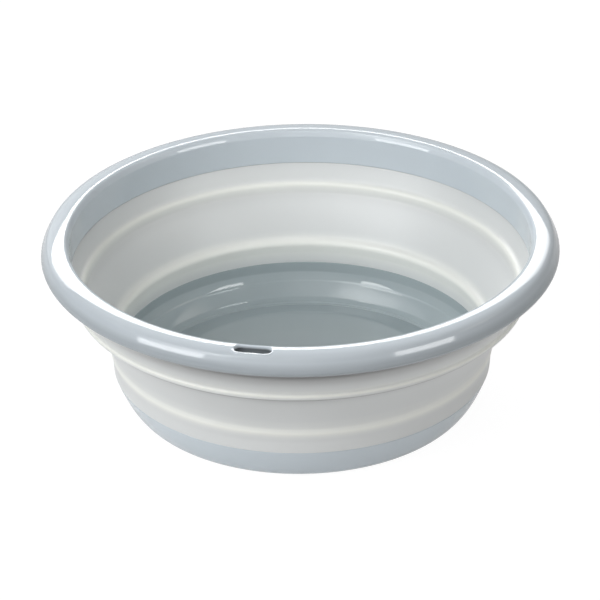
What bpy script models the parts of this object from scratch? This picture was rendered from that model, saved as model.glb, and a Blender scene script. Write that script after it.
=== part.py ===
# Collapsible camp washbasin: a stiff rim, a soft wall that folds at two rings, and a stiff base cup.
# Metres, +Z up. The origin is the middle of the foot ring, on the surface that the basin stands on.
# The hanging slot in the rim lies on -Y. Every piece is a turned profile, drawn from its own seam.

import math

import bpy
import bmesh
from mathutils import Vector

# Sizes that run through the whole basin
RIM_RADIUS = 0.160          # outermost edge of the rim
TURN_STEPS = 60             # facets round every ring, all in step with each other
SEAM_GAP = 0.0003           # clearance between pieces that seat on each other
MERGE_DISTANCE = 0.00001

# Heights, stacked from the foot to the crown
BASE_RISE = 0.0234          # foot to the outer seam of the base cup
LOWER_BAND_RISE = 0.0161    # that seam to the lower fold
PANEL_RISE = 0.0349         # lower fold to upper fold
UPPER_BAND_RISE = 0.0144    # upper fold to the inner seam of the rim
RIM_RISE = 0.0232           # that seam to the crown

# Rim frame, in hard plastic
RIM_SHELL = 0.0024          # wall thickness
CROWN_ROUND = 0.0035        # rounding from the inner wall up to the crown's peak
CROWN_REACH = 0.0140        # crown's peak out to the widest ring
CROWN_DROP = 0.0080         # crown's peak down to the widest ring
SKIRT_DROP = 0.0085         # depth of the curve under the widest ring, were it drawn to its end
SKIRT_TURN = math.radians(46)   # how far round that curve the skirt goes
RIM_WALL_LEAN = 0.0003      # draft of the inner wall
RIM_TONGUE = 0.0011         # thickness of the inner wall where the soft wall laps it
RIM_LAP = 0.0080            # height of that lap
SLOT_LENGTH = 0.0220
SLOT_WIDTH = 0.0074
SLOT_FACETS = 22            # round the whole slot, with no corner on its middle line
SLOT_OVERRUN = 0.0030       # how far the slot's cutter stands above the crown

# Soft wall, which folds at the upper and lower rings
SOFT_WALL = 0.0022
UPPER_BAND_INSET = 0.0050   # inner seam of the rim in to the upper fold
UPPER_SHOULDER_RISE = 0.0176    # upper fold to where the outside turns upright behind the skirt
CREASE_REACH = 0.0011       # how far the lip at the upper fold stands out
CREASE_THICK = 0.0017       # height of that lip's edge
CREASE_LAP_UP = 0.0018      # panel's top above the upper fold
CREASE_LAP_DOWN = 0.0020    # upper band's foot below it
PANEL_INSET = 0.0163        # outside of the panel, from its top in to its foot
PANEL_HOLLOW = 0.0024       # how far the panel's outside is dished
HINGE_WALL = 0.0020         # panel's foot, where it folds
RIDGE_LAP_UP = 0.0041       # lower band's top above the lower fold
RIDGE_LAP_DOWN = 0.0017     # panel's foot below it
RIDGE_BEAD = 0.0012         # how far the bead at the lower fold stands in
RIDGE_SLOPE = 0.0033        # height over which the bead runs out
LOWER_BAND_LEAN = 0.0003

# Base cup, in hard plastic
BASE_SHELL = 0.0024
BASE_TONGUE = 0.0012        # thickness of the cup's edge where the soft wall laps it
BASE_LAP = 0.0061           # height of that lap
BASE_INSET = 0.0166         # outer seam in to the foot's outer edge
BELLY_REACH = 0.0083        # foot's outer edge out to where the belly's two slopes would meet
FOOT_WIDTH = 0.0035
HEEL_DRAFT = 0.0006         # lean of the foot ring's inner side
TROUGH_RISE = 0.0040        # inside depth of the gutter above the foot
TROUGH_ROUND = 0.0030       # rounding in that gutter's corner
PLATEAU_INSET = 0.0235      # gutter's corner in to the raised middle
PLATEAU_RISE = 0.0058       # height of the raised middle above the gutter
PLATEAU_ROUND = 0.0040      # run of the rounding at the middle's edge
STEP_WIDTH = 0.0003         # faint step round the cup's inside
STEP_HEIGHT_share = 0.84    # of the cup's inner wall, up to that step

# Facets along each curve of a section
CORNER_FACETS = 4           # crown's inner rounding, and the skirt
CROWN_FACETS = 8            # crown from its peak out to the widest ring
CEILING_FACETS = 6          # the same curve inside
SKIRT_BACK_FACETS = 3
LIP_FACETS = 3              # skirt's edge
EDGE_FACETS = 4             # round the soft wall's edges, and the shoulder above the upper fold
BEAD_FACETS = 5
PANEL_FACETS = 6
BELLY_FACETS = 8
FLOOR_FACETS = 3            # gutter's corner and the middle's brow

GLOSS_ROUGHNESS = 0.18
SATIN_ROUGHNESS = 0.42
RIM_COLOUR = (0.50, 0.57, 0.62, 1)
BASE_COLOUR = (0.46, 0.53, 0.56, 1)
SOFT_COLOUR = (0.80, 0.81, 0.80, 1)

# Radii that follow, from the rim inwards
peak_radius = RIM_RADIUS - CROWN_REACH
wall_radius = peak_radius - CROWN_ROUND
seam_radius = wall_radius - RIM_WALL_LEAN
crease_radius = seam_radius - UPPER_BAND_INSET
panel_top_radius = crease_radius - SEAM_GAP
panel_foot_radius = panel_top_radius - PANEL_INSET
ridge_radius = panel_foot_radius - HINGE_WALL - SEAM_GAP
base_radius = ridge_radius - LOWER_BAND_LEAN
foot_radius = base_radius - BASE_INSET

# Heights that follow, from the foot upwards
ridge_height = BASE_RISE + LOWER_BAND_RISE
crease_height = ridge_height + PANEL_RISE
seam_height = crease_height + UPPER_BAND_RISE


def arc(centre, reach, rise, start, end, count):
    """Points on an ellipse about centre; angles run from outwards (0) to upwards (a quarter turn)."""
    steps = [start + (end - start) * i / count for i in range(count + 1)]
    return [(centre[0] + reach * math.cos(a), centre[1] + rise * math.sin(a)) for a in steps]


def bend(first, corner, last, count):
    """Points on a curve that leaves first towards corner and reaches last from it."""
    shares = [i / count for i in range(count + 1)]
    return [tuple((1 - s) ** 2 * a + 2 * s * (1 - s) * b + s * s * c
                  for a, b, c in zip(first, corner, last)) for s in shares]


def round_end(first, last, count):
    """Points between first and last on a half circle that bulges to the left of that line."""
    middle = [(a + b) / 2 for a, b in zip(first, last)]
    half = [(a - m) for a, m in zip(first, middle)]
    turns = [math.pi * i / count for i in range(1, count)]
    return [(middle[0] + half[0] * math.cos(t) + half[1] * math.sin(t),
             middle[1] + half[1] * math.cos(t) - half[0] * math.sin(t)) for t in turns]


def offset(points, distance):
    """The same run of points, moved to the right of its direction by distance."""
    moved = []
    for i, point in enumerate(points):
        before = Vector(points[max(i - 1, 0)])
        after = Vector(points[min(i + 1, len(points) - 1)])
        along = (after - before).normalized()
        moved.append((point[0] + along.y * distance, point[1] - along.x * distance))
    return moved


def material(name, colour, roughness):
    """A plastic with its own colour and polish."""
    made = bpy.data.materials.new(name)
    made.use_nodes = True
    shader = made.node_tree.nodes["Principled BSDF"]
    shader.inputs["Base Color"].default_value = colour
    shader.inputs["Roughness"].default_value = roughness
    shader.inputs["Metallic"].default_value = 0
    made.diffuse_color = colour
    return made


def turned(name, section, closed, height, carrier, finish):
    """A piece turned round the basin's axis from a section of (radius, height) points."""
    mesh = bpy.data.meshes.new(name)
    count = len(section)
    edges = [(i, (i + 1) % count) for i in range(count if closed else count - 1)]
    mesh.from_pydata([(radius, 0, rise) for radius, rise in section], edges, [])
    mesh.materials.append(finish)
    piece = bpy.data.objects.new(name, mesh)
    parts.objects.link(piece)
    piece.parent = carrier
    piece.location.z = height - carrier.location.z
    screw = piece.modifiers.new("turn", "SCREW")
    screw.steps = screw.render_steps = TURN_STEPS
    screw.use_merge_vertices = True
    screw.merge_threshold = MERGE_DISTANCE
    screw.use_smooth_shade = True
    return piece


def slot_cutter(foot):
    """An upright peg with a long round-ended outline, from the rim's hollow out through its crown."""
    depth = CROWN_DROP + SLOT_OVERRUN
    shape = bmesh.new()
    bmesh.ops.create_cone(shape, cap_ends=True, segments=SLOT_FACETS, radius1=SLOT_WIDTH / 2,
                          radius2=SLOT_WIDTH / 2, depth=depth)
    straight = (SLOT_LENGTH - SLOT_WIDTH) / 2
    for corner in shape.verts:
        corner.co.x += math.copysign(straight, corner.co.x)
    mesh = bpy.data.meshes.new("slot_cutter")
    shape.to_mesh(mesh)
    shape.free()
    cutter = bpy.data.objects.new("slot_cutter", mesh)
    cutters.objects.link(cutter)
    cutter.location = (0, -(peak_radius + SLOT_WIDTH / 2), foot + depth / 2)
    cutter.hide_render = True
    cutter.display_type = "WIRE"
    return cutter


def rim_frame(carrier, finish):
    """The hard rim: an upright inner wall, a lopsided crown and a skirt that curls under, open below."""
    peak = RIM_RISE - CROWN_ROUND
    waist = RIM_RISE - CROWN_DROP
    quarter = math.pi / 2
    shell = RIM_SHELL
    inside = [(seam_radius, SEAM_GAP)] + arc((peak_radius, peak), CROWN_ROUND, CROWN_ROUND,
                                             math.pi, quarter, CORNER_FACETS)
    outside = arc((peak_radius, waist), CROWN_REACH, CROWN_DROP, quarter, 0, CROWN_FACETS)[1:]
    skirt = arc((peak_radius, waist), CROWN_REACH, SKIRT_DROP, 0, -SKIRT_TURN, CORNER_FACETS)[1:]
    skirt_back = arc((peak_radius, waist), CROWN_REACH - shell, SKIRT_DROP - shell,
                     -SKIRT_TURN, 0, SKIRT_BACK_FACETS)
    ceiling = arc((peak_radius, waist), CROWN_REACH - shell, CROWN_DROP - shell, 0, quarter,
                  CEILING_FACETS)[1:]
    corner = arc((peak_radius, peak), CROWN_ROUND - shell, CROWN_ROUND - shell,
                 quarter, math.pi, CORNER_FACETS // 2)[1:]
    lap_top = SEAM_GAP + RIM_LAP
    lean = RIM_WALL_LEAN * (peak - lap_top) / peak
    tongue = [(wall_radius + shell - lean, lap_top),
              (seam_radius + RIM_TONGUE, lap_top), (seam_radius + RIM_TONGUE, SEAM_GAP)]
    lip = round_end(skirt[-1], skirt_back[0], LIP_FACETS)
    section = inside + outside + skirt + lip + skirt_back + ceiling + corner + tongue
    rim = turned("rim_frame", section, True, seam_height, carrier, finish)
    cut = rim.modifiers.new("hanging slot", "BOOLEAN")
    cut.operation = "DIFFERENCE"
    cut.solver = "EXACT"
    cut.object = slot_cutter(seam_height + waist)
    return rim


def upper_band(carrier, finish):
    """The soft wall's top band: laps the rim's inner wall, and ends in the upper fold's lip."""
    lap_foot = seam_radius + RIM_TONGUE + SEAM_GAP
    lap_face = lap_foot + SOFT_WALL
    foot = -CREASE_LAP_DOWN
    inner = [(crease_radius, foot), (crease_radius, CREASE_LAP_UP),
             (seam_radius, UPPER_BAND_RISE), (lap_foot, UPPER_BAND_RISE)]
    top = UPPER_BAND_RISE + RIM_LAP
    tongue = [(lap_foot, top - SOFT_WALL / 2), (lap_face, top - SOFT_WALL / 2)]
    neck = crease_radius + SOFT_WALL
    outer = bend((lap_face, UPPER_SHOULDER_RISE),
                 (lap_face - CREASE_REACH, UPPER_SHOULDER_RISE - UPPER_BAND_INSET),
                 (neck, CREASE_THICK), EDGE_FACETS)
    lip = [(neck + CREASE_REACH, CREASE_THICK / 2), (neck + CREASE_REACH, -CREASE_THICK / 2)]
    end = [(neck, foot)]
    section = (inner + tongue[:1] + round_end(tongue[0], tongue[1], EDGE_FACETS) + tongue[1:]
               + outer + lip + end + round_end(end[0], inner[0], EDGE_FACETS))
    return turned("upper_band", section, True, crease_height, carrier, finish)


def fold_panel(carrier, finish):
    """The soft wall's middle ring, dished outside; its top hides in the band, its foot rings the bead."""
    foot = -RIDGE_LAP_DOWN
    neck = RIDGE_LAP_UP
    top = PANEL_RISE + CREASE_LAP_UP - SOFT_WALL / 2
    shoulder = PANEL_RISE - CREASE_LAP_DOWN
    dish = ((panel_top_radius + panel_foot_radius) / 2 - PANEL_HOLLOW,
            (shoulder + neck) / 2 + PANEL_HOLLOW)
    outer = bend((panel_top_radius, shoulder), dish, (panel_foot_radius, neck), PANEL_FACETS)
    inner = offset(outer, SOFT_WALL)[::-1]
    inner[0] = (panel_foot_radius - HINGE_WALL, inner[0][1])
    inner[-1] = (panel_top_radius - SOFT_WALL, inner[-1][1])
    ends = [(panel_foot_radius, foot), (panel_foot_radius - HINGE_WALL, foot)]
    tips = [(panel_top_radius - SOFT_WALL, top), (panel_top_radius, top)]
    section = (outer + ends[:1] + round_end(ends[0], ends[1], EDGE_FACETS) + ends[1:]
               + inner + tips[:1] + round_end(tips[0], tips[1], EDGE_FACETS) + tips[1:])
    return turned("fold_panel", section, True, ridge_height, carrier, finish)


def lower_band(carrier, finish):
    """The soft wall's foot band: a bead at the lower fold, and a skin that laps the cup's edge."""
    bead_inner = ridge_radius - SOFT_WALL - RIDGE_BEAD
    bead_round = (ridge_radius - bead_inner) / 2
    shoulder = LOWER_BAND_RISE + RIDGE_LAP_UP - bead_round
    bead = [(bead_inner, shoulder), (ridge_radius, shoulder)]
    skin = base_radius - BASE_SHELL + BASE_TONGUE + SEAM_GAP
    inner = [(base_radius - BASE_SHELL, BASE_LAP),
             (ridge_radius - SOFT_WALL, shoulder - RIDGE_SLOPE)]
    lap = [(base_radius, 0), (skin, 0), (skin, BASE_LAP)]
    section = inner + bead[:1] + round_end(bead[0], bead[1], BEAD_FACETS) + bead[1:] + lap
    return turned("lower_band", section, True, BASE_RISE, carrier, finish)


def base_cup(carrier, finish):
    """The hard cup: a bellied wall on a foot ring, a gutter inside and a raised middle."""
    edge = BASE_RISE - SEAM_GAP
    belly = bend((base_radius, edge), (foot_radius + BELLY_REACH, 0), (foot_radius, 0), BELLY_FACETS)
    lining = [point for point in offset(belly, BASE_SHELL) if point[1] > TROUGH_RISE + TROUGH_ROUND]
    lining[0] = (base_radius - BASE_SHELL, edge)
    lip = [(base_radius - BASE_SHELL, edge + BASE_LAP),
           (base_radius - BASE_SHELL + BASE_TONGUE, edge + BASE_LAP),
           (base_radius - BASE_SHELL + BASE_TONGUE, edge)]
    low = lining[-1]
    gutter = bend((low[0] - TROUGH_ROUND / 2 - TROUGH_ROUND, TROUGH_RISE),
                  (low[0] - TROUGH_ROUND / 2, TROUGH_RISE), low, FLOOR_FACETS)[:-1]
    plateau_radius = gutter[0][0] - PLATEAU_INSET + TROUGH_ROUND
    floor = TROUGH_RISE + PLATEAU_RISE
    slope = PLATEAU_RISE / (gutter[0][0] - plateau_radius)
    brow = bend((plateau_radius - PLATEAU_ROUND, floor), (plateau_radius, floor),
                (plateau_radius + PLATEAU_ROUND, floor - PLATEAU_ROUND * slope), FLOOR_FACETS)
    heel = foot_radius - FOOT_WIDTH
    instep = heel - HEEL_DRAFT
    under = [(heel, 0), (instep, TROUGH_RISE + slope * (gutter[0][0] - instep) - BASE_SHELL),
             (plateau_radius - BASE_SHELL / 2, floor - BASE_SHELL)]
    wall = lining[::-1]
    section = ([(0, floor)] + brow + gutter + stepped(wall) + lip + belly + under
               + [(0, floor - BASE_SHELL)])
    return turned("base_cup", section, False, 0, carrier, finish)


def stepped(wall):
    """A cup's inner wall, from its foot up, with a faint step in the wall's thickness on the way."""
    cut = wall[0][1] + STEP_HEIGHT_share * (wall[-1][1] - wall[0][1])
    below = [point for point in wall if point[1] <= cut]
    above = [point for point in wall if point[1] > cut]
    share = (cut - below[-1][1]) / (above[0][1] - below[-1][1])
    radius = below[-1][0] + share * (above[0][0] - below[-1][0])
    return ([(r - STEP_WIDTH, z) for r, z in below]
            + [(radius - STEP_WIDTH, cut), (radius, cut + STEP_WIDTH)] + above)


def empty(name, height, parent):
    """A carrier on the basin's axis, which the slides run along."""
    carrier = bpy.data.objects.new(name, None)
    parts.objects.link(carrier)
    carrier.location.z = height - (parent.location.z if parent else 0)
    carrier.parent = parent
    return carrier


for old in list(bpy.data.objects):
    bpy.data.objects.remove(old)

parts = bpy.data.collections.new("camp_washbasin")
cutters = bpy.data.collections.new("cutters")
for collection in (parts, cutters):
    bpy.context.scene.collection.children.link(collection)

stand = empty("stand", 0, None)
rim_slide = empty("rim_slide", crease_height, stand)
panel_slide = empty("panel_slide", ridge_height, stand)

soft_plastic = material("soft_white", SOFT_COLOUR, SATIN_ROUGHNESS)
base_cup(stand, material("base_grey", BASE_COLOUR, GLOSS_ROUGHNESS))
lower_band(stand, soft_plastic)
fold_panel(panel_slide, soft_plastic)
upper_band(rim_slide, soft_plastic)
rim_frame(rim_slide, material("rim_grey", RIM_COLOUR, GLOSS_ROUGHNESS))
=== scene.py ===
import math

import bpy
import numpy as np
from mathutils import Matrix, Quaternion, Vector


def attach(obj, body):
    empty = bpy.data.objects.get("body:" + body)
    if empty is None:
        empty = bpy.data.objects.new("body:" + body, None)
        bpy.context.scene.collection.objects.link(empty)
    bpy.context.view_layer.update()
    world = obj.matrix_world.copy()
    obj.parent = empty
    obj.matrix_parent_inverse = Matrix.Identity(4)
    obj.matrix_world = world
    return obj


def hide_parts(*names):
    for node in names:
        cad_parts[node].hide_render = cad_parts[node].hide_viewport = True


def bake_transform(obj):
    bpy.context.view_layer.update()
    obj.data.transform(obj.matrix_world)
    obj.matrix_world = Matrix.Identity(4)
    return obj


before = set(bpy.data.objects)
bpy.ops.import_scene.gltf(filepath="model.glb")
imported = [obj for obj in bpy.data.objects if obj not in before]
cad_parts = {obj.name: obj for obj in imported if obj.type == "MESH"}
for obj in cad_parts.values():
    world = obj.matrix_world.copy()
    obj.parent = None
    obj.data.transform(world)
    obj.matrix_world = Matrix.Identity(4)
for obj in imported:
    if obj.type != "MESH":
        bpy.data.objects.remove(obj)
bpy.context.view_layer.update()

# Looks of a collapsible camp washbasin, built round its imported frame.
# Sections are rows of (radius, height) in millimetres that run up the inside, over the top and down
# the outside, so that every turned surface faces outwards. Corners are rows of (radius, height,
# rounding). Meshes are in metres.

millimetre = 0.001
turning = {"steps": 288, "longest": 1.8}    # columns round the axis, longest step along a section

print("washbasin: frame loaded,", len(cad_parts), "nodes")


# sections

def unit(vectors):
    return vectors / np.maximum(np.linalg.norm(vectors, axis=-1, keepdims=True), 1e-12)


# how far a value has gone on its way from start to end, between 0 and 1
def gone(value, start, end):
    return np.clip((value - start) / (end - start), 0, 1)


# s^2 (3 - 2 s), which is level at 0 and at 1
def eased(s):
    return s * s * (3 - 2 * s)


# points on an ellipse: centre + (reach cos t, rise sin t), with t running between two angles in degrees
def arcPoints(centre, reach, rise, start, end, count):
    t = np.radians(np.linspace(start, end, count))
    return np.stack([centre[0] + reach * np.cos(t), centre[1] + rise * np.sin(t)], -1)


# a curve that leaves first towards corner and reaches last from it:
# (1 - s)^2 first + 2 s (1 - s) corner + s^2 last, with s from 0 to 1
def bentPoints(first, corner, last, count):
    s = np.linspace(0, 1, count)[:, None]
    first, corner, last = np.array(first), np.array(corner), np.array(last)
    return (1 - s) ** 2 * first + 2 * s * (1 - s) * corner + s ** 2 * last


# the same run of points, each moved to the left of its direction by distance
def movedLeft(points, distance):
    along = unit(np.gradient(points, axis=0))
    return points + np.stack([-along[:, 1], along[:, 0]], -1) * distance


# Corners become arcs that touch both their sides. The arc's centre lies on the corner's middle line,
# rounding / sin(half the corner) away from it.
def rounded(corners, closed=True, steps=7):
    corners = np.asarray(corners, float)
    here, rounding = corners[:, :2], corners[:, 2:]
    back = unit(np.roll(here, 1, 0) - here)
    ahead = unit(np.roll(here, -1, 0) - here)
    half = np.arccos(np.clip((back * ahead).sum(1, keepdims=True), -0.999999, 0.999999)) / 2
    if not closed:
        rounding = rounding * np.concatenate([[0], np.ones(len(here) - 2), [0]])[:, None]
    centre = here + unit(back + ahead) * rounding / np.sin(half)
    start = back * rounding / np.tan(half) + here - centre
    end = ahead * rounding / np.tan(half) + here - centre
    sweep = np.maximum(np.pi - 2 * half, 1e-4)[:, :, None]
    s = np.linspace(0, 1, steps)[None, :, None]
    arcs = (start[:, None] * np.sin((1 - s) * sweep) + end[:, None] * np.sin(s * sweep)) / np.sin(sweep)
    points = (centre[:, None] + arcs).reshape(-1, 2)
    apart = np.linalg.norm(points - np.roll(points, 1, 0), axis=1) > 1e-4
    apart[0] = apart[0] or not closed
    return points[apart]


# corners without rounding, for the points of a curve
def plain(points):
    return np.column_stack([points, np.zeros(len(points))])


# how far each point of a run lies from its first, measured along the run
def travelled(points):
    return np.concatenate([[0], np.cumsum(np.linalg.norm(np.diff(points, axis=0), axis=1))])


# the places on a run of points at these distances along it
def placesAlong(points, at):
    distance = travelled(points)
    return np.stack([np.interp(at, distance, points[:, 0]), np.interp(at, distance, points[:, 1])], -1)


# the same outline with extra points, so that no step along it is longer than longest
def refined(points, closed=True, longest=turning["longest"]):
    ring = np.vstack([points, points[:1]]) if closed else points
    distance = travelled(ring)
    even = np.linspace(0, distance[-1], int(distance[-1] / longest) + 2)
    far = np.abs(even[:, None] - distance[None]).min(1) > longest / 3
    made = placesAlong(ring, np.sort(np.concatenate([distance, even[far]])))
    return made[:-1] if closed else made


# a run of points cut into equal steps
def evenly(points, cells):
    return placesAlong(points, np.linspace(0, travelled(points)[-1], cells + 1))


# turned surfaces

def evenTurns():
    return np.linspace(0, 2 * np.pi, turning["steps"], endpoint=False)


# point (turn, i) = (radius_i cos turn, radius_i sin turn, height_i)
def turnedPoints(section, turns):
    radius, height = section[None, :, 0], section[None, :, 1]
    turn = turns[:, None]
    return np.stack([radius * np.cos(turn), radius * np.sin(turn), height + 0 * turn], -1)


# numbers the points of a grid, row by row
def numbered(grid, first=0):
    return first + np.arange(grid.shape[0] * grid.shape[1]).reshape(grid.shape[:2])


# point numbers of a grid's four-sided faces; its last row joins its first
def gridFaces(index):
    ahead = np.roll(index, -1, 0)
    return np.stack([index[:, :-1], index[:, 1:], ahead[:, 1:], ahead[:, :-1]], -1)


# a smooth piece from points in millimetres and lists of point numbers
def meshPiece(name, points, faces, finish):
    mesh = bpy.data.meshes.new(name)
    mesh.from_pydata((points * millimetre).tolist(), [], faces)
    mesh.validate()
    mesh.polygons.foreach_set("use_smooth", np.ones(len(mesh.polygons), bool))
    mesh.materials.append(finish)
    piece = bpy.data.objects.new(name, mesh)
    bpy.context.scene.collection.objects.link(piece)
    return piece


# a turned piece whose section is a closed loop clear of the axis
def turnedRing(name, section, finish):
    grid = turnedPoints(section, evenTurns())
    index = numbered(grid)
    faces = gridFaces(np.concatenate([index, index[:, :1]], 1))
    return meshPiece(name, grid.reshape(-1, 3), faces.reshape(-1, 4).tolist(), finish)


# a turned piece whose section starts and ends on the axis, closed there by two fans
def turnedCup(name, section, finish):
    grid = turnedPoints(section[1:-1], evenTurns())
    index = numbered(grid)
    quads = gridFaces(index).reshape(-1, 4).tolist()
    first, last = index[:, 0], index[:, -1]
    top, under = index.size, index.size + 1
    fans = (np.stack([0 * first + top, first, np.roll(first, -1)], -1).tolist()
            + np.stack([0 * last + under, np.roll(last, -1), last], -1).tolist())
    poles = np.array([[0, 0, section[0, 1]], [0, 0, section[-1, 1]]])
    return meshPiece(name, np.vstack([grid.reshape(-1, 3), poles]), quads + fans, finish)


# x, y and z of a piece's points in metres, one point after another
def pointsOf(piece):
    place = np.zeros(len(piece.data.vertices) * 3, np.float32)
    piece.data.vertices.foreach_get("co", place)
    return place


# gives each point of a piece a number, which its finish reads by this name
def mark(piece, name, values):
    piece.data.attributes.new(name, "FLOAT", "POINT").data.foreach_set("value", values.astype(np.float32))


# finishes

# Wraps a node's output, so that sums on it add the Math nodes of a material.
class Wire:
    def __init__(self, tree, socket=None):
        self.tree, self.socket = tree, socket

    # any node: its type, then its settings, then the values or wires of its sockets
    def node(self, kind, settings=(), sockets=(), output=0):
        made = self.tree.nodes.new(kind)
        for name, value in dict(settings).items():
            setattr(made, name, value)
        for name, value in dict(sockets).items():
            if isinstance(value, Wire):
                self.tree.links.new(value.socket, made.inputs[name])
            else:
                made.inputs[name].default_value = value
        return Wire(self.tree, made.outputs[output])

    def math(self, operation, first, second):
        return self.node("ShaderNodeMath", {"operation": operation}, {0: first, 1: second})

    def __add__(self, other):
        return self.math("ADD", self, other)

    def __radd__(self, other):
        return self.math("ADD", other, self)

    def __sub__(self, other):
        return self.math("SUBTRACT", self, other)

    def __rsub__(self, other):
        return self.math("SUBTRACT", other, self)

    def __mul__(self, other):
        return self.math("MULTIPLY", self, other)

    def __rmul__(self, other):
        return self.math("MULTIPLY", other, self)

    # one number of a vector: X, Y or Z
    def part(self, axis):
        return self.node("ShaderNodeSeparateXYZ", {}, {0: self}, axis)

    # a colour between two others, by a mask
    def between(self, first, second):
        return self.node("ShaderNodeMix", {"data_type": "RGBA"}, {0: self, 6: first, 7: second}, 2)

    def noise(self, place, scale, detail):
        return self.node("ShaderNodeTexNoise", {}, {"Vector": place, "Scale": scale, "Detail": detail})

    # a bump of this height; its depth is in metres
    def bump(self, strength, depth):
        return self.node("ShaderNodeBump", {}, {"Strength": strength, "Distance": depth, "Height": self})

    # what a piece's points were marked with
    def attribute(self, name, output="Fac"):
        return self.node("ShaderNodeAttribute", {"attribute_name": name}, output=output)


# a colour as a screen shows it, from 0 to 255, in linear light
def screenColour(red, green, blue):
    c = np.array([red, green, blue]) / 255
    linear = np.where(c <= 0.04045, c / 12.92, ((c + 0.055) / 1.055) ** 2.4)
    return (*linear.tolist(), 1.0)


# a new material, and a wire that adds nodes to it
def newMaterial(name):
    material = bpy.data.materials.new(name)
    material.use_nodes = True
    return material, Wire(material.node_tree)


# Fills a material's shader: varying inputs by wires, and the same for all by plain values.
def fillShader(material, wire, values, wires):
    shader = material.node_tree.nodes["Principled BSDF"]
    for name, value in values.items():
        shader.inputs[name].default_value = value
    for name, varying in wires.items():
        wire.tree.links.new(varying.socket, shader.inputs[name])
    return material


# Hard glossy plastic: a faint cloudiness of the pigment, polish that varies a little and the fine
# waviness and specks that a polished mould leaves. Where a piece is marked with painted shade, it goes
# over to the darker painted shade colour, and it gets rougher with the square of the mark.
def hardPlastic(name, look):
    material, wire = newMaterial(name)
    place = wire.node("ShaderNodeTexCoord", output="Object")
    cloud, polish, wave, speck = (wire.noise(place, *look[layer])
                                  for layer in ("cloud", "polish", "wave", "speck"))
    paintedShade = wire.attribute("paintedShade")
    # painted shade: the colour goes darker where the mark is
    colour = paintedShade.between(cloud.between(look["shade"], look["light"]), look["paintedShadeColour"])
    bump = (wave + speck * look["speckShare"]).bump(look["waveStrength"], look["waveDepth"])
    return fillShader(material, wire, {"IOR": look["ior"]},
                      {"Base Color": colour, "Normal": bump,
                       "Roughness": polish * look["roughnessSpan"] + look["roughness"]
                       + paintedShade * paintedShade * look["paintedShadeRoughness"]})


# Soft satin plastic with a fine matt grain: creamy where a highlight is painted on the folds, and grey where
# shade is painted.
# Its patterns are laid on the places at rest, so that they fold with the wall.
def softPlastic(name, look):
    material, wire = newMaterial(name)
    place = wire.attribute("restPlace", "Vector")
    cloud, grain, soft = (wire.noise(place, *look[layer]) for layer in ("cloud", "grain", "soft"))
    body = cloud.between(look["shade"], look["light"])
    # a pale cream painted highlight on the folds, then painted shade under the skirt and lip
    highlighted = wire.attribute("paintedHighlight").between(body, look["paintedHighlightColour"])
    colour = wire.attribute("paintedWallShade").between(highlighted, look["paintedWallShadeColour"])
    bump = (grain + soft * look["softShare"]).bump(look["grainStrength"], look["grainDepth"])
    return fillShader(material, wire, {"IOR": look["ior"]},
                      {"Base Color": colour, "Normal": bump,
                       "Roughness": grain * look["roughnessSpan"] + look["roughness"]})


# rim frame

rim = {
    "radius": 159.95, "peak": 145.66, "top": 111.98,     # peak is the radius at which the top lies
    "innerRounding": 2.0, "flareTurn": 25.6, "flareLength": 2.8, "flareBend": 3.0,
    "crownFoot": (156.6, 109.5), "faceTurn": 30.4, "faceLength": 2.4, "widest": 101.8,
    "skirtDrop": 5.8, "skirtTurn": 46, "shell": 2.4, "backRounding": 1.0, "wallLean": 0.1,
    "foot": 88.95, "footRounding": 0.22, "footEnd": 1.0, "tongue": 1.1,
    "lapTop": 97.1, "lapLean": 0.2, "lapRounding": 0.3,
    "slotStep": 0.2,                                     # longest step of the runs under the slot
    # how many points each stretch has
    "points": {"round": 40, "flare": 10, "crown": 120, "face": 24, "skirt": 16, "skirtBack": 12, "lip": 10,
               "ceilingSide": 6, "ceiling": 60, "ceilingRound": 20, "back": 5},
    # where shade is painted on a point: depths, heights or radii from none to all, and the most
    "backDepth": (0.8, 3.0), "skirtEdge": (101.0, 98.2),
    "faceShade": (151.0, 157.0, 0.34), "skirtShade": (107.5, 104.0, 0.27),
    "backWithin": 157.6, "skirtFrom": 153.0, "markedFrom": 144.26,    # radii that bound the marks
}
rimPlastic = {
    "light": screenColour(215, 223, 229), "shade": screenColour(211, 220, 226),
    # scale and detail of each layer
    "cloud": (9.0, 3.0), "polish": (60.0, 2.0), "wave": (55.0, 1.0), "speck": (1400.0, 1.0),
    "speckShare": 0.06, "waveStrength": 0.03, "waveDepth": 0.0002,
    "roughness": 0.01, "roughnessSpan": 0.04, "ior": 1.47,
    # the darker colour of the painted shade, and how much rougher the plastic gets there
    "paintedShadeColour": screenColour(122, 128, 132), "paintedShadeRoughness": 0.35,
}
slotHole = {
    "length": 22.0, "width": 7.4, "middle": 149.3,       # middle is a radius
    "span": math.radians(6.0), "turnCells": 30, "cells": 14, "rings": 9,
    "reach": 156.6,                                      # the patch on the crown goes out to here
    "collarWidth": 1.7, "collarRings": 8, "collarFall": 0.045,    # the flat collar on the near side
    "collarRise": 2.5, "collarSides": 1.6,               # how fast it rises, inwards and along the slot
    "ceilingStart": 37.5, "ceilingEnd": 150.0,           # angles on the arcs, degrees
    "edge": 0.9, "backEdge": 0.35, "edgeRings": 7, "wallRings": 4,
}


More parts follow.
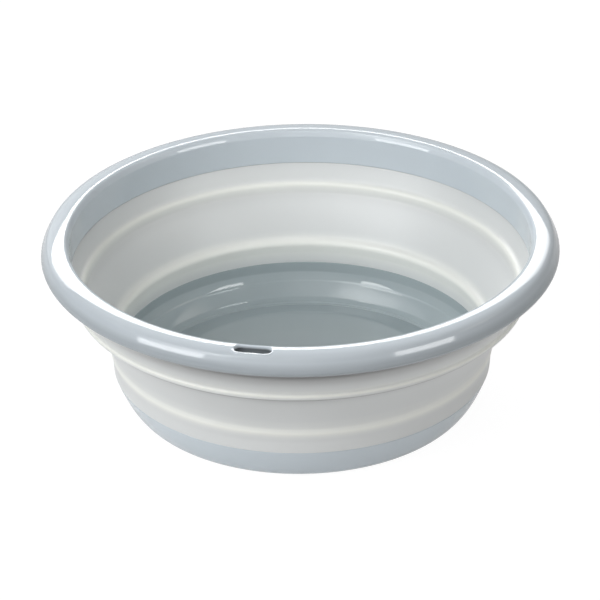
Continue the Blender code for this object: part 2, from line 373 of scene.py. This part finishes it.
# The rim's section, where on it the slot's patches lie, and its crown. The inner wall rises almost
# upright, bends outwards into a short straight flare and rounds over to the peak. From there the crown
# falls in a curve to a short straight face, which rounds over to the skirt. The skirt is part of an
# ellipse's lower quarter, which turns inwards, and the ceiling inside is an upper quarter.
def rimSection():
    peakRadius, shell, cells, count = rim["peak"], rim["shell"], slotHole["cells"], rim["points"]
    topRound, backRound, bend = rim["innerRounding"], rim["backRounding"], rim["flareBend"]
    peak, corner = np.array([peakRadius, rim["top"]]), np.array([peakRadius, rim["top"] - topRound])
    backCorner = (peakRadius, rim["top"] - shell - backRound)
    crownRound = arcPoints(corner, topRound, topRound, 180 - rim["flareTurn"], 90, count["round"])
    aside = unit(crownRound[0] - corner)
    flareFoot = crownRound[0] - rim["flareLength"] * np.array([aside[1], -aside[0]])
    bendMiddle = flareFoot - bend * aside
    wallRadius, backRadius = bendMiddle[0] - bend, peakRadius - backRound
    seam = wallRadius - rim["wallLean"]
    flare = arcPoints(bendMiddle, bend, bend, 180, 180 - rim["flareTurn"], count["flare"])[1:]

    turn = math.radians(rim["faceTurn"])
    down = np.array([math.sin(turn), -math.cos(turn)])
    face = np.array(rim["crownFoot"])
    faceFoot = face + down * rim["faceLength"]
    bendAt = face - down * (peak[1] - face[1]) / math.cos(turn)
    faceCorner = (rim["radius"], faceFoot[1] - (rim["radius"] - faceFoot[0]) / math.tan(turn))
    crownRun = np.vstack([bentPoints(peak, bendAt, face, count["crown"])[1:], faceFoot[None],
                          bentPoints(faceFoot, faceCorner, (rim["radius"], rim["widest"]),
                                     count["face"])[1:]])
    cut = int(np.argmax(crownRun[:, 0] > slotHole["reach"])) + 1
    crown = refined(np.vstack([crownRound, crownRun[:cut]]), closed=False, longest=rim["slotStep"])

    middle, reach, drop = (peakRadius, rim["widest"]), rim["radius"] - peakRadius, rim["skirtDrop"]
    backReach, backRise = reach - shell, rim["top"] - rim["widest"] - shell
    skirt = arcPoints(middle, reach, drop, 0, -rim["skirtTurn"], count["skirt"])[1:]
    skirtBack = arcPoints(middle, backReach, drop - shell, -rim["skirtTurn"], 0, count["skirtBack"])
    lipMiddle = (skirt[-1] + skirtBack[0]) / 2
    across = skirt[-1] - lipMiddle
    turn = np.linspace(0, np.pi, count["lip"])[1:-1, None]
    lip = lipMiddle + across * np.cos(turn) + np.array([across[1], -across[0]]) * np.sin(turn)

    ceilingStart, ceilingEnd = slotHole["ceilingStart"], slotHole["ceilingEnd"]
    ceilingSide = arcPoints(middle, backReach, backRise, 0, ceilingStart, count["ceilingSide"])[1:]
    ceiling = np.vstack([arcPoints(middle, backReach, backRise, ceilingStart, 90, count["ceiling"]),
                         arcPoints(backCorner, backRound, backRound, 90, ceilingEnd,
                                   count["ceilingRound"])[1:]])
    ceiling = refined(ceiling, closed=False, longest=rim["slotStep"])
    back = arcPoints(backCorner, backRound, backRound, ceilingEnd, 180, count["back"])[1:]
    foot = rounded([[backRadius, backCorner[1], 0],
                    [backRadius - rim["lapLean"], rim["lapTop"], rim["lapRounding"]],
                    [seam + rim["tongue"], rim["lapTop"], rim["lapRounding"]],
                    [seam + rim["tongue"], rim["foot"], rim["footRounding"]],
                    [seam, rim["foot"], rim["footRounding"]],
                    [seam, rim["foot"] + rim["footEnd"], 0]], closed=False)

    before = refined(np.vstack([foot[-1:], [[wallRadius, bendMiddle[1]]], flare, crownRound[:1]]),
                     closed=False)
    crownCells, ceilingCells = evenly(crown, cells), evenly(ceiling, cells)
    between = refined(np.vstack([crown[-1:], crownRun[cut:], skirt, lip, skirtBack, ceilingSide]),
                      closed=False)
    after = refined(np.vstack([ceiling[-1:], back, foot[1:]]), closed=False)
    section = np.vstack([before[:-1], crownCells, between[1:-1], ceilingCells, after[1:-1]])
    crownAt = len(before) - 1
    ceilingAt = crownAt + len(crownCells) + len(between) - 2
    return section, (crownAt, crown), (ceilingAt, ceiling), np.vstack([crownRound, crownRun])


# The slot's outline at shares of its way round, from 0 to 8: 0 and 4 are its ends, 2 its outer side
# and 6 its inner side. It is a long hole: a rectangle rounded by half its width, grown by extra.
def slotOutline(share, extra):
    halfLength, halfWidth = slotHole["length"] / 2 + extra, slotHole["width"] / 2 + extra
    r = halfWidth - 1e-6                                 # a hair less, so that the arcs stay apart
    loop = rounded([[halfLength, -halfWidth, r], [halfLength, halfWidth, r],
                    [-halfLength, halfWidth, r], [-halfLength, -halfWidth, r]], steps=40)
    first = np.abs(loop[:, 1]) + (loop[:, 0] < 0) * halfLength * 2
    loop = np.roll(loop, -int(first.argmin()), 0)
    loop = np.vstack([loop, loop[:1]])
    return placesAlong(loop, np.mod(share, 8) / 8 * travelled(loop)[-1])


# Points of one patch, ring by ring: the rings go over in even steps, in turn and in distance along
# the section, from the edge of the grid's gap to the slot, and then over a rounded edge of the given
# size into the hole. side is 1 for the crown and -1 for the ceiling. On the crown a collar comes
# before the edge: its width is collarWidth (1 + cos t) / 2 round the outline, with t = 0 on the near
# side, and its top falls outwards by collarFall instead of following the crown.
def slotPatch(run, edgeTurns, edgeDistance, share, size, side):
    order = np.argsort(run[:, 0])
    nudge = 0.05                                         # only finds the direction outwards
    outline = slotOutline(share, size)
    outward = unit(slotOutline(share, size + nudge) - outline)
    near = (1 + np.cos((share - 2) * np.pi / 4)) / 2 * (side > 0)
    out = np.linspace(1, 0, slotHole["collarRings"] + 1)[:, None, None]
    spots = outline + out * outward * (slotHole["collarWidth"] * near)[:, None]
    x, y = spots[..., 0], -(slotHole["middle"] + spots[..., 1])
    radius = np.hypot(x, y)
    surface = np.interp(radius, run[order, 0], run[order, 1])
    level = rim["top"] - slotHole["collarFall"] * np.maximum(radius - rim["peak"], 0)
    rise = eased(np.clip((1 - out[..., 0]) * slotHole["collarRise"], 0, 1))
    lift = np.maximum(level - surface, 0) * rise * np.minimum(near * slotHole["collarSides"], 1)
    raised = np.stack([x, y, surface + lift], -1)[1:]

    step = np.linspace(0, 1, slotHole["rings"] + 1)[1:, None]
    turn = edgeTurns * (1 - step) + np.arctan2(y[0], x[0]) * step
    holeDistance = np.interp(radius[0], run[order, 0], travelled(run)[order])
    place = placesAlong(run, edgeDistance * (1 - step) + holeDistance * step)
    flat = np.stack([place[..., 0] * np.cos(turn), place[..., 0] * np.sin(turn), place[..., 1]], -1)
    if side > 0:
        flat = np.concatenate([flat, raised])

    fall = np.radians(np.linspace(90, 0, slotHole["edgeRings"] + 1)[1:, None])
    grown = np.stack([slotOutline(share, float(size * (1 - math.cos(a)))) for a in fall[:, 0]])
    x, y = grown[..., 0], -(slotHole["middle"] + grown[..., 1])
    height = flat[-1, :, 2][None] - side * size * (1 - np.sin(fall))
    return np.concatenate([flat, np.stack([x, y, height + 0 * x], -1)])


# The turned rim with a gap in its crown and one in its ceiling. A patch fills each gap round the slot,
# and straight walls join the two.
def slottedRim(finish):
    section, (crownAt, crown), (ceilingAt, ceiling) = rimSection()[:3]
    cells, turnCells, span = slotHole["cells"], slotHole["turnCells"], slotHole["span"]
    start, end = -np.pi / 2 - span, -np.pi / 2 + span
    restCells = int(round((2 * np.pi - 2 * span) / (2 * np.pi / turning["steps"])))
    rest = np.linspace(end, start + 2 * np.pi, restCells + 1)
    grid = turnedPoints(section, np.concatenate([np.linspace(start, end, turnCells + 1), rest[1:-1]]))
    index = numbered(grid)
    faces = gridFaces(np.concatenate([index, index[:, :1]], 1))
    keep = np.ones(faces.shape[:2], bool)
    for at in (crownAt, ceilingAt):
        keep[:turnCells, at:at + cells] = False
    points, allFaces, count, ends = [grid.reshape(-1, 3)], [faces[keep]], index.size, []

    # once round a gap's edge, from 0 to 4: across the rim, along it, back across and back along
    across, along = np.linspace(0, 1, cells + 1)[:-1], np.linspace(0, 1, turnCells + 1)[:-1]
    around = np.concatenate([across, 1 + along, 2 + across, 3 + along])
    edgeTurns = start + (end - start) * np.concatenate([0 * across, along, 1 + 0 * across, 1 - along])
    edgeShare = np.concatenate([across, 1 + 0 * along, 1 - across, 0 * along])
    for at, run, size, side in ((crownAt, crown, slotHole["edge"], 1),
                                (ceilingAt, ceiling, slotHole["backEdge"], -1)):
        block = index[:turnCells + 1, at:at + cells + 1]
        edge = np.concatenate([block[0, :-1], block[:-1, -1], block[-1, :0:-1], block[:0:-1, 0]])
        share = 4 + side * (1 - 2 * around)              # the section crosses the ceiling inwards
        rings = slotPatch(run, edgeTurns, edgeShare * travelled(run)[-1], share, size, side)
        own = numbered(rings, count)
        ladder = np.vstack([edge[None], own])
        points.append(rings.reshape(-1, 3))
        allFaces.append(gridFaces(ladder.T)[..., [0, 3, 2, 1]].reshape(-1, 4))
        count += own.size
        sort = np.argsort(np.mod(np.round(share, 6), 8))
        ends.append((own[-1][sort], rings[-1][sort]))

    (topIndex, topRing), (lowIndex, lowRing) = ends
    step = np.linspace(0, 1, slotHole["wallRings"] + 2)[1:-1, None, None]
    walls = topRing[None] * (1 - step) + lowRing[None] * step
    ladder = np.vstack([topIndex[None], numbered(walls, count), lowIndex[None]])
    points.append(walls.reshape(-1, 3))
    allFaces.append(gridFaces(ladder.T).reshape(-1, 4))
    return meshPiece("washbasin_rim", np.concatenate(points), np.concatenate(allFaces).tolist(),
                     finish)


# Marks how much shade is painted on each point of the rim. The back faces get painted shade, as their
# depth below the crown goes over backDepth, and so does the skirt's lower edge, over the heights in
# skirtEdge, both eased. The outside above that edge gets painted shade in part: one share grows evenly
# outwards over the radii in faceShade, and another downwards over the heights in skirtShade.
def markRim(piece):
    crown = rimSection()[3]
    x, y, z = pointsOf(piece).reshape(-1, 3).T / millimetre
    radius = np.hypot(x, y)
    onSkirt = radius > rim["skirtFrom"]
    depth = np.interp(radius, crown[:, 0], crown[:, 1]) - z
    back = gone(depth, *rim["backDepth"]) * (radius < rim["backWithin"])
    # painted shade in the slot's hollow on the back faces and along the skirt's lower edge
    paintedDeepShade = eased(np.maximum(back, gone(z, *rim["skirtEdge"]) * onSkirt))
    near, far, mostOnFace = rim["faceShade"]
    high, low, mostOnSkirt = rim["skirtShade"]
    # painted shade on the skirt's face and lower part
    shade = mostOnFace * gone(radius, near, far) + mostOnSkirt * gone(z, high, low) * onSkirt
    mark(piece, "paintedShade", np.maximum(paintedDeepShade, shade) * (radius > rim["markedFrom"]))


rimPiece = slottedRim(hardPlastic("rim_gloss", rimPlastic))
markRim(rimPiece)
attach(rimPiece, "rim")
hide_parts("rim_frame")
print("washbasin: rim made,", len(rimPiece.data.polygons), "faces")


# folding wall

wall = {
    "thickness": 2.2, "panelPoints": 60, "shoulderPoints": 24,
    "panelTop": (136.9, 72.4), "panelBend": (126.35, 60.4), "panelFoot": (120.6, 43.6),
    "panelBelow": 70.6, "liningBetween": (49.5, 71.8),    # heights that the panel's two sides keep
    "shoulder": (145.7, 92.0), "shoulderBend": (144.7, 87.0), "neck": (139.45, 76.5),
    "lowerShelf": [[115.6, 29.3, 0.15], [115.5, 37.0, 6.0], [114.6, 44.0, 4.0], [118.9, 46.2, 3.6]],
    "upperShelf": [[134.7, 77.3, 2.6], [137.8, 78.5, 3.2], [142.2, 88.8, 0.15]],
    "rimLap": [[143.45, 88.8, 0.1], [143.45, 96.8, 0.9], [145.7, 96.8, 0.9]],
    "lip": [[140.5, 75.4, 0.5], [140.5, 73.4, 0.6], [139.2, 72.2, 0.5], [138.4, 71.3, 0.5],
            [136.75, 71.3, 0.45]],
    "bead": [[119.9, 40.7, 1.6], [119.85, 37.6, 3.0], [118.5, 31.0, 12.0], [118.0, 23.4, 0.15]],
    "cupLap": [[117.0, 23.4, 0.1], [117.0, 29.3, 0.1]],
    "foldFrom": 41.5, "foldTo": 73.2,        # heights that stay with the base and go with the rim
}
# radius, height, reach across and up, and share of each place where a pale, creamy highlight is painted on
# the folds
paintedHighlights = [
    (135.2, 77.2, 2.8, 1.6, 0.85), (134.2, 74.6, 3.0, 3.0, 0.5), (115.5, 43.5, 2.6, 2.6, 0.55),
    (117.8, 45.8, 3.0, 2.6, 0.45), (115.2, 38.5, 1.6, 5.0, 0.6), (140.4, 75.3, 1.0, 1.0, 0.9),
    (139.9, 77.0, 1.5, 2.2, 0.3), (119.9, 38.4, 1.5, 3.2, 0.9),
]
# the same for painted shade, under the skirt, beneath the lip and on the top band's outside
paintedShadePlaces = [
    (145.7, 93.2, 2.5, 3.0, 1.0), (139.3, 71.3, 2.0, 1.2, 0.7), (136.0, 68.5, 4.0, 6.0, 0.3),
    (146.0, 86.0, 3.0, 8.0, 0.65),
]
wallPlastic = {
    "light": screenColour(228, 230, 229), "shade": screenColour(224, 226, 225),
    # colours of the painted highlight on the folds and of the painted shade under the skirt and lip
    "paintedHighlightColour": screenColour(252, 253, 246), "paintedWallShadeColour": screenColour(150, 150, 150),
    "cloud": (12.0, 3.0), "grain": (2600.0, 2.0), "soft": (160.0, 2.0), "softShare": 0.5,
    "grainStrength": 0.12, "grainDepth": 0.0001,
    "roughness": 0.30, "roughnessSpan": 0.10, "ior": 1.47,
}


# The wall's section: the dished panel between two folds, a shelf at each fold inside, a lip at the
# upper fold and a bead at the lower fold outside, and laps that hide behind the rim and the cup. The
# panel and the shoulder are bent curves, and the panel's inside is its outside moved by the thickness.
def wallSection():
    outer = bentPoints(wall["panelTop"], wall["panelBend"], wall["panelFoot"], wall["panelPoints"])
    inner = movedLeft(outer[::-1], wall["thickness"])
    outer = outer[outer[:, 1] < wall["panelBelow"]]
    low, high = wall["liningBetween"]
    inner = inner[(inner[:, 1] > low) & (inner[:, 1] < high)]
    shoulder = bentPoints(wall["shoulder"], wall["shoulderBend"], wall["neck"], wall["shoulderPoints"])
    return refined(rounded(np.vstack([wall["lowerShelf"], plain(inner), wall["upperShelf"], wall["rimLap"],
                                      plain(shoulder), wall["lip"], plain(outer), wall["bead"],
                                      wall["cupLap"]])))


# a sum of bell curves of the distance, across and up, from each place in a list, 1 at most
def closeness(places, distance, height):
    radius, middle, across, tall, share = np.array(places).T[:, :, None]
    far = ((distance - radius) / across) ** 2 + ((height - middle) / tall) ** 2
    return np.minimum((share * np.exp(-far)).sum(0), 1)


# Marks each point of the wall with its place at rest, in metres, and with how much painted highlight and
# painted shade it has.
def markWall(piece):
    place = pointsOf(piece)
    piece.data.attributes.new("restPlace", "FLOAT_VECTOR", "POINT").data.foreach_set("vector", place)
    x, y, z = place.reshape(-1, 3).T / millimetre
    mark(piece, "paintedHighlight", closeness(paintedHighlights, np.hypot(x, y), z))
    mark(piece, "paintedWallShade", closeness(paintedShadePlaces, np.hypot(x, y), z))


wallPiece = turnedRing("washbasin_wall", wallSection(), softPlastic("wall_satin", wallPlastic))
markWall(wallPiece)
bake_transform(wallPiece)
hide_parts("upper_band", "fold_panel", "lower_band")
print("washbasin: wall made,", len(wallPiece.data.polygons), "faces")


# base cup

cup = {
    "edge": (118.0, 23.25), "edgeRounding": 0.15, "belly": (109.7, 0.0), "foot": (101.4, 0.0),
    "liningTop": (115.6, 22.4), "liningRound": 54.6, "liningTurns": (23.0, 40.0), "curvePoints": 48,
    "stepHeight": 16.9, "stepWidth": 0.3, "ledge": [[104.65, 5.1, 0.1], [105.3, 5.35, 0.1]],
    "gutter": (104.2, 4.0, 0.4), "brow": (83.5, 9.8, 16.0), "shell": 2.4,
    "tongueFoot": 23.5, "tongueTop": 29.2, "tongue": 1.2, "tongueRounding": 0.3,
    "heel": (97.9, 0.0, 0.6), "recess": (97.3, 3.3, 1.2), "underBrow": 82.5, "underRounding": 12.0,
    "gateRadius": 4.5, "gateDepth": 0.5, "gateSlope": 0.6, "gateRounding": 0.4,
}
# the cup's inside takes a darker colour, which is painted shade
cupPlastic = dict(rimPlastic, light=screenColour(215, 224, 230), shade=screenColour(211, 221, 227),
                  paintedShadeColour=screenColour(171, 182, 185), paintedShadeRoughness=0.0)


# The cup's section, from the axis out over the floor and the gutter, up the lining, which is an arc
# with a faint step in it, over the tongue behind the wall, down the bellied outside, a bent curve, and
# back under the foot to the axis.
def cupSection():
    belly = bentPoints(cup["edge"], cup["belly"], cup["foot"], cup["curvePoints"])
    reach, (topTurn, footTurn) = cup["liningRound"], np.radians(cup["liningTurns"])
    middle = cup["liningTop"] + reach * np.array([-math.cos(topTurn), math.sin(topTurn)])
    lining = arcPoints(middle, reach, reach, -math.degrees(footTurn), -math.degrees(topTurn),
                       cup["curvePoints"])
    low = lining[lining[:, 1] <= cup["stepHeight"]] - np.array([cup["stepWidth"], 0])
    high = lining[lining[:, 1] > cup["stepHeight"] + cup["stepWidth"]]
    inner, top, topRounding = cup["liningTop"][0], cup["tongueTop"], cup["tongueRounding"]
    outer, (edgeRadius, edgeHeight) = inner + cup["tongue"], cup["edge"]
    floor, under = cup["brow"][1], cup["brow"][1] - cup["shell"]
    gate, gateTop, gateRounding = cup["gateRadius"], under + cup["gateDepth"], cup["gateRounding"]
    corners = [
        [[0, floor, 0], cup["brow"], cup["gutter"]], cup["ledge"],
        plain(low), plain(high),
        [[inner, cup["tongueFoot"], 0], [inner, top, topRounding], [outer, top, topRounding],
         [outer, edgeHeight, cup["edgeRounding"]], [edgeRadius, edgeHeight, cup["edgeRounding"]]],
        plain(belly[2:]),                                # its first two points lie in the edge's rounding
        [cup["heel"], cup["recess"], [cup["underBrow"], under, cup["underRounding"]],
         [gate + cup["gateSlope"], under, gateRounding], [gate, gateTop, gateRounding], [0, gateTop, 0]],
    ]
    return refined(rounded(np.vstack(corners), closed=False), closed=False)


# Marks the cup's inside with painted shade, a darker colour than its outside: the rows of its section
# before the highest one, and the pole on its floor.
def markCup(piece, section):
    rows = section[1:-1]
    inside = np.arange(len(rows)) < rows[:, 1].argmax()
    mark(piece, "paintedShade", np.concatenate([np.tile(inside, turning["steps"]), [True, False]]))


cupPiece = turnedCup("washbasin_cup", cupSection(), hardPlastic("cup_gloss", cupPlastic))
markCup(cupPiece, cupSection())
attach(cupPiece, "base")
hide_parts("base_cup")
print("washbasin: cup made,", len(cupPiece.data.polygons), "faces")


# floor and world

# The camera sees a white world, and glossy and see-through rays a share of it, mirrored. All other rays
# meet a faint sky. The floor glows for the same rays and keeps part of its own shading there, so that
# the basin's soft shadow stays.
studio = {
    "floorSize": 40.0, "floorColour": (0.72, 0.72, 0.72, 1), "floorGlow": 0.85, "glowStrength": 1.12,
    "skyColour": (0.95, 0.97, 1.0, 1), "skyStrength": 0.07, "mirrored": 0.5,
}


def seenDirectly(wire):
    straight, glossy, clear = (wire.node("ShaderNodeLightPath", output="Is " + kind + " Ray")
                               for kind in ("Camera", "Glossy", "Transmission"))
    return wire.math("MAXIMUM", straight, wire.math("MAXIMUM", glossy, clear) * studio["mirrored"])


def makeFloor():
    half = studio["floorSize"] / 2
    mesh = bpy.data.meshes.new("floor")
    mesh.from_pydata([(-half, -half, 0), (half, -half, 0), (half, half, 0), (-half, half, 0)], [],
                     [(0, 1, 2, 3)])
    floor = bpy.data.objects.new("floor", mesh)
    bpy.context.scene.collection.objects.link(floor)
    material, wire = newMaterial("floor_pale")
    tree = material.node_tree
    matt = wire.node("ShaderNodeBsdfDiffuse", {}, {"Color": studio["floorColour"]})
    glow = wire.node("ShaderNodeEmission", {}, {"Strength": studio["glowStrength"]})
    mixed = wire.node("ShaderNodeMixShader", {}, {0: seenDirectly(wire) * studio["floorGlow"],
                                                  1: matt, 2: glow})
    tree.links.new(mixed.socket, tree.nodes["Material Output"].inputs["Surface"])
    mesh.materials.append(material)


def makeWorld():
    world = bpy.data.worlds.new("studio")
    world.use_nodes = True
    world.node_tree.nodes.remove(world.node_tree.nodes["Background"])
    wire = Wire(world.node_tree)
    white = wire.node("ShaderNodeBackground", {}, {"Color": (1, 1, 1, 1), "Strength": 1.0})
    sky = wire.node("ShaderNodeBackground", {}, {"Color": studio["skyColour"],
                                                 "Strength": studio["skyStrength"]})
    mixed = wire.node("ShaderNodeMixShader", {}, {0: seenDirectly(wire), 1: sky, 2: white})
    world.node_tree.links.new(mixed.socket, world.node_tree.nodes["World Output"].inputs["Surface"])
    bpy.context.scene.world = world


makeFloor()
makeWorld()


# camera and lamps

# Turn and rise are in degrees, and turn is measured round from the side that faces the hanging slot,
# towards +X. Roll is in radians. Distance, look height and look aside are in millimetres.
camera = {
    "turn": 11.0, "rise": 28.55, "distance": 2212.6, "roll": -0.0155,
    "lookHeight": 63.84, "lookAside": -0.64,
    "lens": 213.12, "sensor": 36, "clip": (0.05, 100),
}
lampAim = 0.07    # height of the point on the axis that all lamps face, in metres
# turn and rise are seen from the camera's own side; width, height and distance are in metres.
# roll turns a lamp about its own axis, in degrees. fade says how much a lamp dims towards its sides and
# towards its top and bottom, as a lit cloth does.
lamps = {
    "leftStrip": {"turn": -56.0, "rise": 23.3, "distance": 1.3, "width": 0.64, "height": 0.165, "roll": 13.2,
                  "power": 3.0, "colour": (0.98, 0.99, 1.0), "fade": (0, 0)},
    "rightStrip": {"turn": 52.3, "rise": 24.1, "distance": 1.3, "width": 0.57, "height": 0.165, "roll": -12.4,
                   "power": 2.3, "colour": (1.0, 1.0, 1.0), "fade": (0, 0)},
    "key": {"turn": -52, "rise": 42, "distance": 2.0, "width": 1.6, "height": 1.2,
            "power": 12.5, "colour": (0.98, 0.99, 1.0), "fade": (1, 1)},
    "fill": {"turn": -22, "rise": 40, "distance": 2.0, "width": 2.2, "height": 1.4,
             "power": 5, "colour": (1.0, 1.0, 1.0), "fade": (1, 1)},
    "top": {"turn": 0, "rise": 78, "distance": 2.0, "width": 1.6, "height": 1.6,
            "power": 5, "colour": (1.0, 1.0, 1.0), "fade": (1, 1)},
    "front": {"turn": 0, "rise": 12, "distance": 2.0, "width": 2.6, "height": 0.8,
              "power": 2.6, "colour": (1.0, 0.98, 1.0), "fade": (1, 1)},
    "leftSide": {"turn": -80, "rise": 34, "distance": 2.0, "width": 1.3, "height": 0.8,
                 "power": 2.0, "colour": (0.94, 0.95, 1.0), "fade": (1, 1)},
    "rightSide": {"turn": 88, "rise": 32, "distance": 2.0, "width": 1.2, "height": 0.8,
                  "power": 2.2, "colour": (1.0, 0.93, 0.85), "fade": (1, 1)},
    "backLeft": {"turn": -145, "rise": 17, "distance": 2.0, "width": 2.2, "height": 1.0,
                 "power": 3.9, "colour": (0.95, 0.98, 1.0), "fade": (1, 1)},
    "back": {"turn": -173, "rise": 33, "distance": 2.0, "width": 2.4, "height": 0.42,
             "power": 19, "colour": (1.0, 1.0, 1.0), "fade": (1, 0.2)},
}


# the direction from the basin at a turn and a rise
def outwards(turn, rise):
    turn, rise = math.radians(turn), math.radians(rise)
    return Vector((math.sin(turn) * math.cos(rise), -math.cos(turn) * math.cos(rise), math.sin(rise)))


# faces a camera or lamp against a direction, turned about it by roll in radians
def faceAlong(seen, back, roll):
    seen.rotation_mode = "QUATERNION"
    seen.rotation_quaternion = back.to_track_quat("Z", "Y") @ Quaternion((0, 0, 1), roll)


def makeCamera():
    data = bpy.data.cameras.new("camera")
    data.lens, data.sensor_width = camera["lens"], camera["sensor"]
    data.clip_start, data.clip_end = camera["clip"]
    seen = bpy.data.objects.new("camera", data)
    bpy.context.scene.collection.objects.link(seen)
    back = outwards(camera["turn"], camera["rise"])
    turn = math.radians(camera["turn"])
    right = Vector((math.cos(turn), math.sin(turn), 0))
    look = Vector((0, 0, camera["lookHeight"] * millimetre)) + right * camera["lookAside"] * millimetre
    seen.location = look + back * camera["distance"] * millimetre
    faceAlong(seen, back, camera["roll"])
    bpy.context.scene.camera = seen


# A lamp's strength at (u, v), each from 0 to 1 across it, is (1 - a (2u - 1)^2) (1 - b (2v - 1)^2) over
# (1 - a/3) (1 - b/3), where a and b are its two fades. Its power stays the same.
def softenLamp(data, fade):
    data.use_nodes = True
    wire = Wire(data.node_tree)
    place = wire.node("ShaderNodeNewGeometry", output="Parametric")
    across, up = place.part("X") * 2 - 1, place.part("Y") * 2 - 1
    strength = ((1 - across * across * fade[0]) * (1 - up * up * fade[1])
                * (1 / ((1 - fade[0] / 3) * (1 - fade[1] / 3))))
    data.node_tree.links.new(strength.socket, data.node_tree.nodes["Emission"].inputs["Strength"])


def makeLamp(name, lamp):
    data = bpy.data.lights.new(name, "AREA")
    data.shape, data.size, data.size_y = "RECTANGLE", lamp["width"], lamp["height"]
    data.energy, data.color = lamp["power"], lamp["colour"]
    softenLamp(data, lamp["fade"])
    light = bpy.data.objects.new(name, data)
    bpy.context.scene.collection.objects.link(light)
    back = outwards(lamp["turn"] + camera["turn"], lamp["rise"])
    light.location = Vector((0, 0, lampAim)) + back * lamp["distance"]
    faceAlong(light, back, math.radians(lamp.get("roll", 0)))
    light.visible_camera = False


makeCamera()
for lampName, lamp in lamps.items():
    makeLamp(lampName, lamp)
bpy.context.scene.view_settings.view_transform = "Standard"
print("washbasin: floor, camera and", len(lamps), "lamps made")
